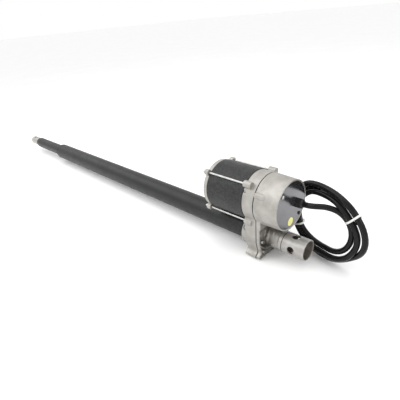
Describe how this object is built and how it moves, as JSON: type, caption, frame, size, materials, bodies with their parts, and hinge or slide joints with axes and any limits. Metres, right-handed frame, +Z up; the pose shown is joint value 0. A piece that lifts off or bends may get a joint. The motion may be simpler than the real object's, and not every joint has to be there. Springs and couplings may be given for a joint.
{
  "type": "electric linear actuator",
  "caption": "Electric linear actuator with a long black tube and sliding rod, a motor beside it on a cast gearcase, a pinned rear mount and a coiled supply cable.",
  "frame": {"origin": "on the tube axis, in the middle of the rear mount's cross bores", "axes": "+X along the stroke towards the rod end, +Z up from the tube to the motor, +Y to the side away from the cable coil"},
  "size_m": [1.3499, 0.1236, 0.1735],
  "materials": {
    "cast_alu": "as cast, satin",
    "turned_alu": "turned",
    "black_tube": "satin black",
    "black_can": "matte black",
    "gloss_plate": "gloss black",
    "bright_steel": "zinc plated",
    "gear_steel": "ground and oiled",
    "black_steel": "black oxide",
    "bronze": "turned bronze",
    "copper": "enamelled copper",
    "ferrite": "sintered ferrite",
    "laminations": "stacked steel sheet",
    "rubber_black": "rubber",
    "nylon_black": "moulded nylon",
    "cable_jacket": "glossy PVC",
    "nylon_white": "natural nylon",
    "acetal": "turned acetal",
    "phenolic": "phenolic resin",
    "carbon": "carbon graphite",
    "board_green": "solder mask",
    "terminal_green": "moulded",
    "sticker_yellow": "vinyl"
  },
  "bodies": {
    "housing": {"gearcase_front": "cast_alu", "gearcase_rear": "cast_alu", "case_gasket": "rubber_black", "case_bolts": "bright_steel", "outer_tube": "black_tube", "collar_screws": "bright_steel", "guide_bush": "bronze", "tube_end_cap": "black_tube", "rod_wiper": "rubber_black", "end_cap_screws": "black_steel", "motor_can": "black_can", "motor_magnets": "ferrite", "motor_front_cap": "cast_alu", "tie_rods": "bright_steel", "tie_rod_nuts": "bright_steel", "brush_holder": "phenolic", "brushes": "carbon", "rotor_bearing_outers": "gear_steel", "rotor_bearing_balls": "gear_steel", "idler_bushes": "bronze", "screw_bush": "bronze", "screw_bearing_outers": "gear_steel", "screw_bearing_balls": "gear_steel", "mount_tube": "turned_alu", "end_plate": "gloss_plate", "end_plate_gasket": "rubber_black", "end_plate_screws": "bright_steel", "gland_body": "nylon_black", "gland_dome_nut": "nylon_black", "gland_locknut": "nylon_black", "inspection_sticker": "sticker_yellow", "sensor_board": "board_green", "sensor_board_screws": "bright_steel", "terminal_block": "terminal_green", "cable_lead": "cable_jacket", "cable_coil": "cable_jacket", "cable_ties": "nylon_white"},
    "rod": {"drive_nut": "bronze", "nut_guide_ring": "acetal", "rod_tube": "black_tube", "rod_end": "turned_alu", "rod_end_pins": "black_steel"},
    "screw": {"lead_screw": "gear_steel", "screw_gear": "gear_steel", "screw_locknut": "bright_steel", "screw_bearing_inners": "gear_steel", "screw_stop": "acetal"},
    "idler": {"idler_shaft": "gear_steel", "idler_gear": "gear_steel"},
    "rotor": {"rotor_shaft": "gear_steel", "armature_core": "laminations", "armature_windings": "copper", "commutator": "copper", "rotor_bearing_inners": "gear_steel", "sensor_magnet": "ferrite"}
  },
  "joints": [
    {"name": "rod_slide", "type": "slide", "parent": "housing", "child": "rod", "axis": [1, 0, 0], "range_m": [-0.15, 0.612]},
    {"name": "screw_spin", "type": "hinge", "parent": "housing", "child": "screw", "pos_m": [0.066, 0, 0], "axis": [1, 0, 0], "continuous": true},
    {"name": "idler_spin", "type": "hinge", "parent": "housing", "child": "idler", "pos_m": [0.07, 0, 0.044], "axis": [1, 0, 0], "continuous": true},
    {"name": "rotor_spin", "type": "hinge", "parent": "housing", "child": "rotor", "pos_m": [0.13, 0, 0.084], "axis": [1, 0, 0], "continuous": true}
  ],
  "couplings": [
    {"joint": "screw_spin", "follows": "rod_slide", "rad_per_m": -785.4},
    {"joint": "idler_spin", "follows": "rod_slide", "rad_per_m": 1518.4},
    {"joint": "rotor_spin", "follows": "rod_slide", "rad_per_m": -5423}
  ]
}
